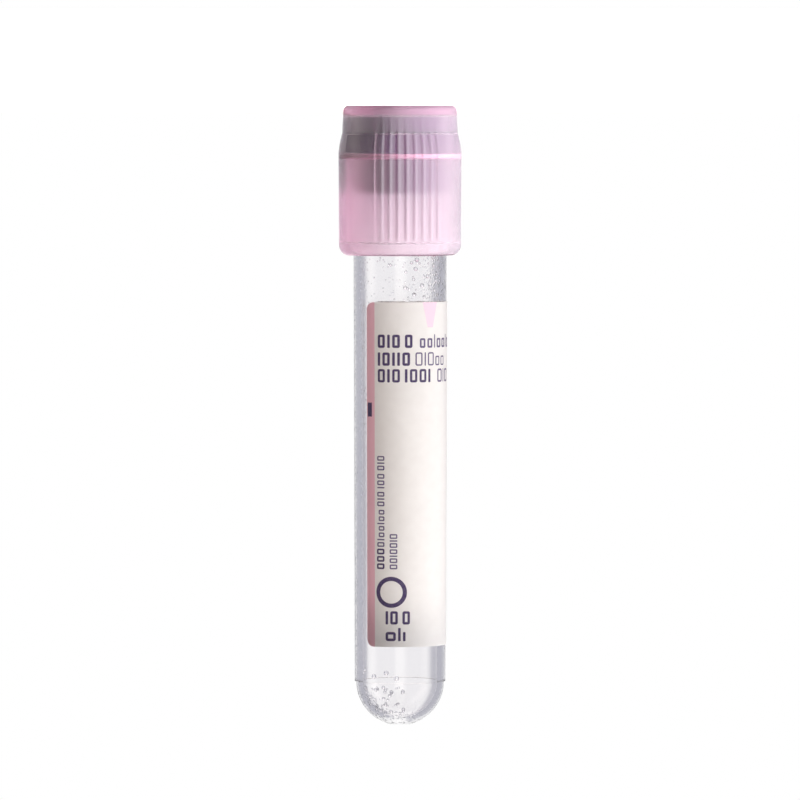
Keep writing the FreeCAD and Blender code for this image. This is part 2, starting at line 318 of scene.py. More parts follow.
def make_tube():
    """Moulded tube: gate flat, round bottom, parting ledge, foot, drafted wall and rounded rim."""
    dome_centre = math.sqrt(DOME_R**2 - GATE_FLAT_R**2)
    dome_turn = math.degrees(math.acos(GATE_FLAT_R / DOME_R))
    rim = TUBE_LENGTH - RIM_ROUND
    tube = draw_section("tube_wall", (0, 0), [
        (GATE_FLAT_R, 0),
        (0, dome_centre, dome_turn),
        (DOME_R, FOOT_LOW),
        (FOOT_R - LEDGE_ROUND, FOOT_LOW),
        (FOOT_R - LEDGE_ROUND, FOOT_LOW + LEDGE_ROUND, 90),
        (FOOT_R, FOOT_HIGH),
        (MOUTH_R, rim),
        (MOUTH_R - RIM_ROUND, rim, 90),
        (BORE_MOUTH_R + RIM_ROUND, TUBE_LENGTH),
        (BORE_MOUTH_R + RIM_ROUND, rim, 90),
        (BORE_MOUTH_R, BORE_SEAT_LOW),
        (BORE_FOOT_R, FOOT_LOW),
        (0, FOOT_LOW, -90),
    ])
    spin_section(TUBE_STEPS)
    settle(tube, "tube", clear_pet(), "tube")


def make_stopper():
    """Rubber stopper: dished plug, neck on the rim, flange, head and needle well."""
    dish_ball, dish_turn = bowl(DISH_R, DISH_DEEP)
    well_ball, well_turn = bowl(WELL_R, WELL_END_DEEP)
    plug = BORE_MOUTH_R + OVERLAP
    seat = TUBE_LENGTH - OVERLAP
    low = FLANGE_LOW - OVERLAP
    high = FLANGE_HIGH + OVERLAP
    top = POCKET_HIGH - HEAD_GAP
    stopper = draw_section("rubber_stopper", (0, PLUG_LOW + DISH_DEEP), [
        (0, PLUG_LOW + DISH_DEEP - dish_ball, -dish_turn),
        (plug - PLUG_ROUND, PLUG_LOW),
        (plug - PLUG_ROUND, PLUG_LOW + PLUG_ROUND, 90),
        (plug, seat),
        (NECK_R, seat),
        (NECK_R, low),
        (FLANGE_R - RUBBER_ROUND, low),
        (FLANGE_R - RUBBER_ROUND, low + RUBBER_ROUND, 90),
        (FLANGE_R, high - RUBBER_ROUND),
        (FLANGE_R - RUBBER_ROUND, high - RUBBER_ROUND, 90),
        (HEAD_R, high),
        (HEAD_R, top - RUBBER_ROUND),
        (HEAD_R - RUBBER_ROUND, top - RUBBER_ROUND, 90),
        (WELL_R + RUBBER_ROUND, top),
        (WELL_R + RUBBER_ROUND, top - RUBBER_ROUND, 90),
        (WELL_R, WELL_LOW),
        (0, WELL_LOW - WELL_END_DEEP + well_ball, -well_turn),
    ])
    spin_section(STOPPER_STEPS)
    pick(stopper, lambda place: place.xy.length > HEAD_R + SLACK)
    bpy.ops.transform.resize(value=(FLANGE_SQUEEZE, FLANGE_SQUEEZE, 1), center_override=(0, 0, 0))
    toward = math.radians(FLANGE_TOUCH)
    shift = Vector((math.sin(toward), -math.cos(toward), 0)) * FLANGE_SHIFT * MM
    bpy.ops.transform.translate(value=shift)
    settle(stopper, "closure", butyl_rubber(), "stopper")


def columns_from_crest(place):
    """How many spin columns a point of the skirt is from the nearest rib's crest; None off the ribs."""
    angle = math.degrees(math.atan2(place.x, -place.y))
    column = round((angle - RIB_FIRST) % 180 / (360 / SHIELD_STEPS))
    if column > SHIELD_STEPS / 2 - RIB_COLUMNS:
        column -= SHIELD_STEPS // 2
    if column > RIB_COLUMNS * (RIB_COUNT - 0.5):
        return None
    return abs((column + RIB_COLUMNS // 2) % RIB_COLUMNS - RIB_COLUMNS // 2)


def raise_ribs(shield):
    """Pushes the ribs' columns out of the skirt and shoulder, the crest furthest."""
    for columns, rise in RIB_RISE.items():
        pick(shield, lambda place: (
            RIB_LOW - SLACK < place.z < SHOULDER_HIGH + SLACK
            and place.xy.length > POCKET_R + SLACK
            and columns_from_crest(place) == columns
        ))
        grow = 1 + rise / SKIRT_HIGH_R
        bpy.ops.transform.resize(value=(grow, grow, 1), center_override=(0, 0, 0))


def make_shield():
    """Moulded shield: skirt with a thick lip, ring under the flange, collar, top with a hole, ribs."""
    shoulder = []
    for n in range(SHOULDER_STEPS + 1):
        share = n / SHOULDER_STEPS
        radius = SKIRT_HIGH_R + share * (COLLAR_LOW_R - SKIRT_HIGH_R)
        bulge = SHOULDER_BULGE * math.sin(math.pi * share)
        shoulder.append((radius + bulge, SHOULDER_LOW + share * (SHOULDER_HIGH - SHOULDER_LOW)))
    shield = draw_section("closure_skirt", (LIP_R + MOULD_ROUND, SHIELD_LOW), [
        (SKIRT_LOW_R - SKIRT_ROUND, SHIELD_LOW),
        (SKIRT_LOW_R - SKIRT_ROUND, SHIELD_LOW + SKIRT_ROUND, 90),
        (SKIRT_LOW_R, RIB_LOW - RIB_TAPER),
        (SKIRT_LOW_R, RIB_LOW),
        (SKIRT_LOW_R, RIB_LOW + RIB_TAPER),
        (SKIRT_HIGH_R, SHOULDER_LOW - RIB_TAPER),
        *shoulder,
        (COLLAR_LOW_R, SHOULDER_HIGH + RIB_TAPER),
        (COLLAR_HIGH_R, TOP - COLLAR_ROUND),
        (COLLAR_HIGH_R - COLLAR_ROUND, TOP - COLLAR_ROUND, 90),
        (TOP_HOLE_R + TOP_HOLE_ROUND, TOP),
        (TOP_HOLE_R + TOP_HOLE_ROUND, TOP - TOP_HOLE_ROUND, 90),
        (TOP_HOLE_R, POCKET_HIGH),
        (HEAD_POCKET_R, POCKET_HIGH),
        (HEAD_POCKET_R, FLANGE_HIGH),
        (POCKET_R - MOULD_ROUND, FLANGE_HIGH),
        (POCKET_R, FLANGE_HIGH - MOULD_ROUND),
        (POCKET_R, FLANGE_LOW),
        (LEDGE_R + MOULD_ROUND, FLANGE_LOW),
        (LEDGE_R, FLANGE_LOW - MOULD_ROUND),
        (LEDGE_R, LEDGE_LOW + MOULD_ROUND),
        (LEDGE_R + MOULD_ROUND, LEDGE_LOW),
        (SKIRT_INNER_R - MOULD_ROUND, LEDGE_LOW),
        (SKIRT_INNER_R, LEDGE_LOW - MOULD_ROUND),
        (SKIRT_INNER_R, LIP_HIGH + MOULD_ROUND),
        (SKIRT_INNER_R - MOULD_ROUND, LIP_HIGH),
        (LIP_R + MOULD_ROUND, LIP_HIGH),
        (LIP_R, LIP_HIGH - MOULD_ROUND),
        (LIP_R, SHIELD_LOW + MOULD_ROUND),
        (LIP_R + MOULD_ROUND, SHIELD_LOW),
    ])
    spin_section(SHIELD_STEPS)
    raise_ribs(shield)
    settle(shield, "closure", pink_polypropylene(), "closure_shield")


# ---------------------------------------------------------------- label

def label_edge_u(angle):
    """Distance along the sheet from its left edge, of an angle round the tube."""
    return math.radians(angle - LABEL_FROM) * tube_r(LABEL_LOW)


def wrap(piece, lift):
    """Wraps a flat piece round the tube, lifted off its wall: X is along the sheet from its left edge."""
    for vertex in piece.data.vertices:
        u, out, height = vertex.co / MM
        angle = math.radians(LABEL_FROM) + u / tube_r(LABEL_LOW)
        radius = tube_r(height) + lift - out
        vertex.co = Vector((radius * math.sin(angle), -radius * math.cos(angle), height)) * MM


def cut_columns(low, high):
    """In edit mode, cuts a flat piece into columns narrow enough to wrap smoothly."""
    step = math.radians(WRAP_STEP) * FOOT_R
    for n in range(math.floor(low / step) + 1, math.ceil(high / step)):
        bpy.ops.mesh.select_all(action="SELECT")
        bpy.ops.mesh.bisect(plane_co=(n * step * MM, 0, 0), plane_no=(1, 0, 0))


def flat_patch(name, low, high, corner, right_too=True):
    """A flat upright rectangle from low to high (u, height), with its corners rounded."""
    bpy.ops.object.select_all(action="DESELECT")
    bpy.ops.mesh.primitive_plane_add(size=MM, rotation=(math.pi / 2, 0, 0))
    patch = new_piece(name)
    patch.scale = (high[0] - low[0], high[1] - low[1], 1)
    patch.location = Vector(((low[0] + high[0]) / 2, 0, (low[1] + high[1]) / 2)) * MM
    bpy.ops.object.transform_apply(location=True, rotation=True, scale=True)
    bpy.ops.object.mode_set(mode="EDIT")
    pick(patch, lambda place: right_too or place.x < high[0] - SLACK)
    steps = LABEL_CORNER_STEPS
    bpy.ops.mesh.bevel(offset=corner * MM, segments=steps, affect="VERTICES", clamp_overlap=False)
    cut_columns(low[0], high[0])
    bpy.ops.object.mode_set(mode="OBJECT")
    return patch


def make_label():
    """The sheet, wrapped round the tube from its left edge."""
    width = label_edge_u(LABEL_FROM + LABEL_SWEEP)
    sheet = flat_patch("label_sheet", (0, LABEL_LOW), (width, LABEL_HIGH), LABEL_CORNER)
    thickness = sheet.modifiers.new("thickness", "SOLIDIFY")
    thickness.thickness = LABEL_THICK * MM
    thickness.offset = 1
    bpy.ops.object.modifier_apply(modifier="thickness")
    wrap(sheet, 0.0)
    for vertex in sheet.data.vertices:
        back = max(0.0, vertex.co.y) / (FOOT_R * MM)
        if vertex.co.z > (LABEL_HIGH - LABEL_CORNER - SLACK) * MM:
            vertex.co.z -= LABEL_DIP * back * MM
    settle(sheet, "tube", label_film(), "label")


def start_print(name):
    """An empty flat piece in edit mode, for marks of one ink."""
    bpy.ops.object.select_all(action="DESELECT")
    bpy.ops.mesh.primitive_plane_add(size=MM)
    marks = new_piece(name)
    bpy.ops.object.mode_set(mode="EDIT")
    bpy.ops.mesh.select_mode(type="VERT")
    bpy.ops.mesh.delete(type="VERT")
    return marks


def block(low, high, stroke=None, corner=0.0):
    """A printed block from low to high (u, height); with a stroke's width, only its outline is inked."""
    middle = Vector((low[0] + high[0], 0, low[1] + high[1])) * MM / 2
    bpy.ops.mesh.select_all(action="DESELECT")
    bpy.ops.mesh.primitive_plane_add(size=MM, rotation=(math.pi / 2, 0, 0), location=middle)
    bpy.ops.transform.resize(value=(high[0] - low[0], 1, high[1] - low[1]), center_override=middle)
    if corner:
        steps = BLOCK_CORNER_STEPS
        bpy.ops.mesh.bevel(offset=corner * MM, segments=steps, affect="VERTICES", clamp_overlap=False)
    if stroke and min(high[0] - low[0], high[1] - low[1]) > SOLID_UNDER * stroke:
        bpy.ops.mesh.inset(thickness=stroke * MM)
        bpy.ops.mesh.delete(type="FACE")


def print_row(start, sizes, stroke, gap=0.32, upward=False):
    """A row of outlined blocks (wide, high) from its first corner, along the sheet or up it.

    A size of 0 is a space.
    """
    along = 0.0
    for size in sizes:
        if size:
            wide, high = size
            low = (start[0] - high, start[1] + along) if upward else (start[0] + along, start[1])
            far = (start[0], start[1] + along + wide) if upward else (low[0] + wide, low[1] + high)
            block(low, far, stroke, BLOCK_CORNER * min(wide, high))
            along += wide
        along += gap


def finish_print(marks, material, low, high):
    """Cuts the marks into columns, wraps them just over the sheet and joins them to the frame."""
    cut_columns(low, high)
    bpy.ops.object.mode_set(mode="OBJECT")
    wrap(marks, LABEL_THICK + 2 * INK_LIFT)
    settle(marks, "tube", material)


def make_print():
    """The label's print: a stripe and a wedge of pink, a fill mark, and plain blocks in rows."""
    end = (STRIPE_WIDE, LABEL_HIGH)
    stripe = flat_patch("stripe", (0, LABEL_LOW), end, LABEL_CORNER, right_too=False)
    wrap(stripe, LABEL_THICK + INK_LIFT)
    settle(stripe, "tube", ink("pink_ink", "#EFC3D2"))

    wedge = start_print("wedge")
    block((WEDGE_LEFT, WEDGE_LOW), (WEDGE_RIGHT, LABEL_HIGH))
    pick(wedge, lambda place: place.z < (WEDGE_LOW + LABEL_HIGH) / 2)
    bpy.ops.transform.resize(value=(WEDGE_TIP, 1, 1))
    finish_print(wedge, ink("pale_pink_ink", "#F1D9E8"), WEDGE_LEFT, WEDGE_RIGHT)

    bold = start_print("bold_rows")
    block(*FILL_MARK)
    print_row((PRINT_LEFT + 0.25, 50.1), [CAPITAL, BAR, CAPITAL, 0, CAPITAL], 0.33)
    print_row((PRINT_LEFT + 0.25, 47.75), [BAR, CAPITAL, BAR, BAR, CAPITAL], 0.33)
    print_row((PRINT_LEFT + 0.25, 45.55), [CAPITAL, BAR, CAPITAL, 0, BAR, CAPITAL, CAPITAL, BAR], 0.30)
    print_row((PRINT_LEFT + 1.15, 20.9), [(0.75, 1.05)] * 3, 0.22, 0.22, upward=True)
    print_row((PRINT_LEFT + 1.3, 13.6), [BAR, CAPITAL, 0, CAPITAL], 0.32, 0.30)
    print_row((PRINT_LEFT + 1.3, 11.4), [(1.35, 1.2), BAR, (0.33, 1.2)], 0.34, 0.30)
    bpy.ops.mesh.select_all(action="DESELECT")
    bpy.ops.mesh.primitive_circle_add(
        vertices=RING_STEPS,
        radius=RING_R * MM,
        fill_type="NGON",
        rotation=(math.pi / 2, 0, 0),
        location=Vector((RING_PLACE[0], 0, RING_PLACE[1])) * MM,
    )
    bpy.ops.mesh.inset(thickness=RING_STROKE * MM)
    bpy.ops.mesh.delete(type="FACE")
    finish_print(bold, ink("violet_ink", "#3A2260"), 0, PRINT_RIGHT)

    light = start_print("light_rows")
    print_row((PRINT_LEFT + 5.8, 50.1), [SMALL, SMALL, THIN_BAR, SMALL, SMALL, THIN_BAR, SMALL], 0.24)
    print_row((PRINT_LEFT + 5.2, 47.75), [CAPITAL, THIN_BAR, CAPITAL, SMALL, SMALL], 0.18)
    print_row((PRINT_LEFT + 8.7, 45.55), [CAPITAL, THIN_BAR, CAPITAL], 0.22)
    words = [
        0, TINY, TINY_BAR, TINY_LOW, TINY_LOW, TINY_BAR, TINY_LOW, TINY_LOW,
        0, TINY, TINY_BAR, TINY,
        0, TINY_BAR, TINY, TINY,
        0, TINY, TINY_BAR, TINY,
    ]
    print_row((PRINT_LEFT + 1.15, 23.6), words, 0.17, 0.24, upward=True)
    line = [TINY, TINY, TINY_BAR, TINY, TINY, TINY_BAR, TINY]
    print_row((PRINT_LEFT + 2.85, 20.9), line, 0.17, 0.20, upward=True)
    finish_print(light, ink("thin_violet_ink", "#5C4C7C"), 0, PRINT_RIGHT)


# ---------------------------------------------------------------- dried additive

def bore_r(height):
    """Inner radius of the tube's wall or, in its round bottom, of the bore's ball."""
    if height < FOOT_LOW:
        return math.sqrt(max(0.0, BORE_FOOT_R**2 - (FOOT_LOW - height)**2))
    share = (height - FOOT_LOW) / (BORE_SEAT_LOW - FOOT_LOW)
    return BORE_FOOT_R + share * (BORE_MOUTH_R - BORE_FOOT_R)


def frame_drops():
    """Angle, height and radius of each drop of the frame's dried additive, read from its loose parts."""
    shape = bmesh.new()
    shape.from_mesh(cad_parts["dried_additive"].data)
    bmesh.ops.remove_doubles(shape, verts=shape.verts, dist=MERGE)
    shape.verts.index_update()
    found = []
    waiting = set(shape.verts)
    while waiting:
        island = [waiting.pop()]
        for vertex in island:
            near = {edge.other_vert(vertex) for edge in vertex.link_edges} & waiting
            waiting -= near
            island.extend(near)
        island.sort(key=lambda vertex: vertex.index)    # so that the sum is the same each run
        middle = sum((vertex.co for vertex in island), Vector()) / len(island) / MM
        radius = (max(vertex.co.z for vertex in island) - min(vertex.co.z for vertex in island)) / MM / 2
        found.append((math.degrees(math.atan2(-middle.x, -middle.y)), TOP - middle.z, radius))
    shape.free()
    return sorted(found)


def spray_drops():
    """Angle, height and radius of finer drops, spread at random within the spray's areas."""
    chance = random.Random(SPRAY_SEED)
    fine = []
    for count, angles, heights, radii in SPRAY:
        for n in range(count):
            fine.append((chance.uniform(*angles), chance.uniform(*heights), chance.uniform(*radii)))
    return fine


def make_drops():
    """Dried drops on the inner wall: one domed drop is modelled, and copied to each place."""
    bpy.ops.object.select_all(action="DESELECT")
    bpy.ops.mesh.primitive_uv_sphere_add(segments=DROP_SEGMENTS, ring_count=DROP_RINGS, radius=1.0)
    pattern = new_piece("dried_drops")
    bpy.ops.object.mode_set(mode="EDIT")
    pick(pattern, lambda place: place.z < 0)
    bpy.ops.mesh.delete(type="VERT")
    bpy.ops.mesh.select_all(action="SELECT")
    bpy.ops.mesh.edge_face_add()
    bpy.ops.mesh.normals_make_consistent(inside=False)
    bpy.ops.object.mode_set(mode="OBJECT")
    copies = []
    for angle, height, radius in frame_drops() + spray_drops():
        turn = math.radians(angle)
        out = Vector((math.sin(turn), -math.cos(turn), 0))
        wall = bore_r(height)
        place = out * wall + Vector((0, 0, height))
        inward = -out
        if height < FOOT_LOW:
            inward = (Vector((0, 0, FOOT_LOW)) - place).normalized()
        sag = wall - math.sqrt(wall**2 - radius**2)
        copy = pattern.copy()
        copy.data = pattern.data.copy()
        copy.location = (place + inward * (sag + DROP_SEAT)) * MM
        copy.rotation_euler = inward.to_track_quat("Z", "X").to_euler()
        copy.scale = Vector((radius, radius, radius * DROP_HIGH)) * MM
        bpy.context.collection.objects.link(copy)
        copies.append(copy)
    bpy.ops.object.select_all(action="DESELECT")
    for copy in copies:
        copy.select_set(True)
    bpy.context.view_layer.objects.active = copies[0]
    bpy.ops.object.join()
    bpy.data.objects.remove(pattern)
    drops = new_piece("dried_drops")
    bpy.ops.object.transform_apply(location=True, rotation=True, scale=True)
    settle(drops, "tube", dried_salt(), "dried_additive", smooth=60)


# ---------------------------------------------------------------- materials

def linear(code):
    """Linear colour of an sRGB hex value."""
    parts = [int(code[i:i + 2], 16) / 255 for i in (1, 3, 5)]
    return [c / 12.92 if c <= 0.04045 else ((c + 0.055) / 1.055) ** 2.4 for c in parts] + [1.0]


def add(tree, kind, sockets=None, **settings):
    """Adds a node with its settings; a socket's value may be another node's output."""
    made = tree.nodes.new(kind)
    for name, value in settings.items():
        setattr(made, name, value)
    for name, value in (sockets or {}).items():
        if isinstance(value, bpy.types.NodeSocket):
            tree.links.new(value, made.inputs[name])
        else:
            made.inputs[name].default_value = value
    return made


def new_material(name):
    """An empty node material and its tree."""
    material = bpy.data.materials.new(name)
    material.use_nodes = True
    material.node_tree.nodes.clear()
    return material, material.node_tree


def let_light_through(tree, surface, tint):
    """Lets lamps reach what is behind a see-through surface, tinted; returns the output node."""
    path = add(tree, "ShaderNodeLightPath")
    clear = add(tree, "ShaderNodeBsdfTransparent", {"Color": linear(tint)})
    mix = add(tree, "ShaderNodeMixShader", {
        0: path.outputs["Is Shadow Ray"],
        1: surface,
        2: clear.outputs[0],
    })
    return add(tree, "ShaderNodeOutputMaterial", {"Surface": mix.outputs[0]})


def clear_pet():
    """Injection-moulded PET: clear and glossy, so it shows by its bent reflections and dark edges.

    Dried spray leaves a fine mist of bumps on the bore: under the closure, down one side, in the bottom.
    """
    material, tree = new_material("clear_pet")
    place = add(tree, "ShaderNodeTexCoord")
    apart = add(tree, "ShaderNodeSeparateXYZ", {0: place.outputs["Object"]})
    past = add(tree, "ShaderNodeMath", {
        0: apart.outputs["Z"],
        1: (TOP - FOOT_LOW) * MM,
    }, operation="SUBTRACT")
    ball = add(tree, "ShaderNodeMath", {0: past.outputs[0], 1: 0.0}, operation="MAXIMUM")
    spoke = add(tree, "ShaderNodeCombineXYZ", {
        "X": apart.outputs["X"],
        "Y": apart.outputs["Y"],
        "Z": ball.outputs[0],
    })
    radius = add(tree, "ShaderNodeVectorMath", {0: spoke.outputs[0]}, operation="LENGTH")
    inner = add(tree, "ShaderNodeMath", {
        0: radius.outputs["Value"],
        1: MIST_WITHIN * MM,
    }, operation="LESS_THAN")

    areas = []
    for heights, sides in (MIST_UNDER_CLOSURE, MIST_IN_BOTTOM):
        along = add(tree, "ShaderNodeMapRange", {
            "Value": apart.outputs["Z"],
            "From Min": heights[0] * MM,
            "From Max": heights[1] * MM,
        })
        across = add(tree, "ShaderNodeMapRange", {
            "Value": apart.outputs["X"],
            "From Min": sides[0] * MM,
            "From Max": sides[1] * MM,
        })
        areas.append(add(tree, "ShaderNodeMath", {
            0: along.outputs[0],
            1: across.outputs[0],
        }, operation="MULTIPLY"))
    side = add(tree, "ShaderNodeMapRange", {
        "Value": apart.outputs["X"],
        "From Min": MIST_DOWN_LEFT[0] * MM,
        "From Max": MIST_DOWN_LEFT[1] * MM,
        "To Max": MIST_LEFT_SHARE,
    })
    under, bottom = areas
    most = add(tree, "ShaderNodeMath", {0: under.outputs[0], 1: bottom.outputs[0]}, operation="MAXIMUM")
    misted = add(tree, "ShaderNodeMath", {0: most.outputs[0], 1: side.outputs[0]}, operation="MAXIMUM")
    strength = add(tree, "ShaderNodeMath", {
        0: misted.outputs[0],
        1: inner.outputs[0],
    }, operation="MULTIPLY")

    cells = add(tree, "ShaderNodeTexVoronoi", {
        "Vector": place.outputs["Object"],
        "Scale": 1 / (MIST_CELL * MM),
    })
    domes = add(tree, "ShaderNodeMapRange", {
        "Value": cells.outputs["Distance"],
        "From Min": MIST_DOME[0],
        "From Max": MIST_DOME[1],
    }, interpolation_type="SMOOTHSTEP")
    mist = add(tree, "ShaderNodeBump", {
        "Strength": strength.outputs[0],
        "Distance": MIST_RISE * MM,
        "Height": domes.outputs[0],
    })
    wall = add(tree, "ShaderNodeBsdfPrincipled", {
        "Base Color": linear("#FBFAFB"),
        "Roughness": 0.02,
        "IOR": 1.575,
        "Transmission Weight": 1.0,
        "Normal": mist.outputs[0],
    })
    let_light_through(tree, wall.outputs[0], "#F8F9FA")
    return material


def dried_salt():
    """Anticoagulant dried on the wall: clear, slightly frosted drops with dark rims and bright spots."""
    material, tree = new_material("dried_salt")
    place = add(tree, "ShaderNodeTexCoord")
    grain = add(tree, "ShaderNodeTexNoise", {
        "Vector": place.outputs["Object"],
        "Scale": 1 / (SALT_GRAIN * MM),
    })
    frost = add(tree, "ShaderNodeMapRange", {"Value": grain.outputs[0], "To Min": 0.02, "To Max": 0.35})
    drop = add(tree, "ShaderNodeBsdfPrincipled", {
        "Base Color": linear("#FBFBFD"),
        "Roughness": frost.outputs[0],
        "IOR": 1.46,
        "Transmission Weight": 1.0,
    })
    let_light_through(tree, drop.outputs[0], "#F4F4F6")
    return material


def pink_polypropylene():
    """Moulded polypropylene, dyed pink: satin outside, and hazy on the core side.

    So what touches that side shows dark and sharp, and what is further in shows pale and blurred.
    """
    material, tree = new_material("pink_polypropylene")
    place = add(tree, "ShaderNodeTexCoord")
    apart = add(tree, "ShaderNodeSeparateXYZ", {0: place.outputs["Object"]})
    flat = add(tree, "ShaderNodeCombineXYZ", {"X": apart.outputs["X"], "Y": apart.outputs["Y"]})
    radius = add(tree, "ShaderNodeVectorMath", {0: flat.outputs[0]}, operation="LENGTH")
    inside = add(tree, "ShaderNodeMath", {
        0: radius.outputs["Value"],
        1: HAZE_WITHIN * MM,
    }, operation="LESS_THAN")
    plate = add(tree, "ShaderNodeMapRange", {
        "Value": apart.outputs["Z"],
        "From Min": (TOP - POCKET_HIGH + PLATE_FADE[0]) * MM,
        "From Max": (TOP - POCKET_HIGH + PLATE_FADE[1]) * MM,
    })
    # The solid ledge ring under the flange is painted paler and less clear: partly the solid plastic there,
    # partly a painted bright line of light.
    ring = add(tree, "ShaderNodeMath", {
        0: apart.outputs["Z"],
        1: (TOP - (FLANGE_LOW + LEDGE_LOW) / 2) * MM,
        2: PAINTED_GLOW_HALF * MM,
    }, operation="COMPARE")
    core = add(tree, "ShaderNodeMath", {0: inside.outputs[0], 1: plate.outputs[0]}, operation="MAXIMUM")
    satin = add(tree, "ShaderNodeBsdfPrincipled", {
        "Base Color": linear("#F4EAF2"),
        "Roughness": 0.24,
        "IOR": 1.49,
        "Transmission Weight": 0.85,
    })
    dyed = add(tree, "ShaderNodeMix", {
        "Factor": plate.outputs[0],
        "A": linear("#F8F2F6"),
        "B": linear("#F0D4E6"),
    }, data_type="RGBA")
    bright = add(tree, "ShaderNodeMix", {
        "Factor": ring.outputs[0],
        "A": dyed.outputs["Result"],
        "B": linear("#FFDCEA"),
    }, data_type="RGBA")
    solid = add(tree, "ShaderNodeMapRange", {"Value": plate.outputs[0], "To Min": 1.0, "To Max": 0.82})
    clear = add(tree, "ShaderNodeMapRange", {
        "Value": ring.outputs[0],
        "To Min": solid.outputs[0],
        "To Max": 0.5,
    })
    clouded = add(tree, "ShaderNodeBsdfPrincipled", {
        "Base Color": bright.outputs["Result"],
        "Roughness": 0.55,
        "IOR": 1.49,
        "Transmission Weight": clear.outputs[0],
    })
    milk = add(tree, "ShaderNodeBsdfTranslucent", {"Color": linear("#F2BED8")})
    hazy = add(tree, "ShaderNodeMixShader", {0: 0.18, 1: clouded.outputs[0], 2: milk.outputs[0]})
    mix = add(tree, "ShaderNodeMixShader", {0: core.outputs[0], 1: satin.outputs[0], 2: hazy.outputs[0]})
    output = let_light_through(tree, mix.outputs[0], "#EFCEDC")
    dye = add(tree, "ShaderNodeVolumeAbsorption", {"Color": (0.93, 0.985, 0.94, 1.0), "Density": 100.0})
    tree.links.new(dye.outputs[0], output.inputs["Volume"])
    return material


def butyl_rubber():
    """Moulded butyl rubber: matt violet, with the fine dull skin of its mould."""
    material, tree = new_material("butyl_rubber")
    place = add(tree, "ShaderNodeTexCoord")
    grain = add(tree, "ShaderNodeTexNoise", {
        "Vector": place.outputs["Object"],
        "Scale": 1 / (RUBBER_GRAIN * MM),
        "Detail": 4.0,
    })
    shade = add(tree, "ShaderNodeMix", {
        "Factor": grain.outputs[0],
        "A": linear("#44184E"),
        "B": linear("#50245C"),
    }, data_type="RGBA")
    skin = add(tree, "ShaderNodeBump", {
        "Strength": 0.2,
        "Distance": RUBBER_RISE * MM,
        "Height": grain.outputs[0],
    })
    rubber = add(tree, "ShaderNodeBsdfPrincipled", {
        "Base Color": shade.outputs["Result"],
        "Roughness": 0.6,
        "Specular IOR Level": 0.1,
        "Normal": skin.outputs[0],
    })
    add(tree, "ShaderNodeOutputMaterial", {"Surface": rubber.outputs[0]})
    return material


def coated_sheet(tree, colour):
    """Surface of the translucent sheet, in a colour given by a socket."""
    film = add(tree, "ShaderNodeBsdfPrincipled", {"Base Color": colour, "Roughness": 0.42})
    through = add(tree, "ShaderNodeBsdfTranslucent", {"Color": colour})
    sheet = add(tree, "ShaderNodeMixShader", {0: 0.6, 1: film.outputs[0], 2: through.outputs[0]})
    add(tree, "ShaderNodeOutputMaterial", {"Surface": sheet.outputs[0]})


def label_film():
    """Coated label film: white and translucent, with a soft sheen and a faint mottle."""
    material, tree = new_material("label_film")
    place = add(tree, "ShaderNodeTexCoord")
    cloud = add(tree, "ShaderNodeTexNoise", {
        "Vector": place.outputs["Object"],
        "Scale": 1 / (FILM_MOTTLE * MM),
        "Detail": 5.0,
    })
    shade = add(tree, "ShaderNodeMix", {
        "Factor": cloud.outputs[0],
        "A": linear("#F1EFEE"),
        "B": linear("#F9F8F7"),
    }, data_type="RGBA")
    coated_sheet(tree, shade.outputs["Result"])
    return material


def ink(name, colour):
    """Printing ink on the film: an even matt coat, a little thinner in places."""
    material, tree = new_material(name)
    place = add(tree, "ShaderNodeTexCoord")
    cloud = add(tree, "ShaderNodeTexNoise", {
        "Vector": place.outputs["Object"],
        "Scale": 1 / (INK_MOTTLE * MM),
    })
    thin = add(tree, "ShaderNodeMapRange", {"Value": cloud.outputs[0], "To Min": 0.0, "To Max": 0.15})
    shade = add(tree, "ShaderNodeMix", {
        "Factor": thin.outputs[0],
        "A": linear(colour),
        "B": linear("#F4F2F1"),
    }, data_type="RGBA")
    coated_sheet(tree, shade.outputs["Result"])
    return material


# ---------------------------------------------------------------- studio

def white_sides(tree, apart, path):
    """1 to the camera and towards the tent's four white sides, 0 towards the grey panels between them."""
    bearing = add(tree, "ShaderNodeMath", {
        0: apart.outputs["X"],
        1: apart.outputs["Y"],
    }, operation="ARCTAN2")
    turned = add(tree, "ShaderNodeMath", {
        0: bearing.outputs[0],
        1: math.radians(PANEL_TURN),
    }, operation="SUBTRACT")
    waves = add(tree, "ShaderNodeMath", {0: turned.outputs[0], 1: WHITE_SIDES}, operation="MULTIPLY")
    height = add(tree, "ShaderNodeMath", {0: waves.outputs[0]}, operation="COSINE")
    white = add(tree, "ShaderNodeMapRange", {
        "Value": height.outputs[0],
        "From Min": PANEL_EDGE[0],
        "From Max": PANEL_EDGE[1],
    }, interpolation_type="SMOOTHSTEP")
    return add(tree, "ShaderNodeMath", {
        0: path.outputs["Is Camera Ray"],
        1: white.outputs[0],
    }, operation="MAXIMUM")


def gathers_light(tree, path):
    """1 for the rays that gather light for a matt surface, at any depth, and 0 for the rest."""
    return add(tree, "ShaderNodeMath", {
        0: path.outputs["Is Diffuse Ray"],
        1: path.outputs["Diffuse Depth"],
    }, operation="MAXIMUM", use_clamp=True)


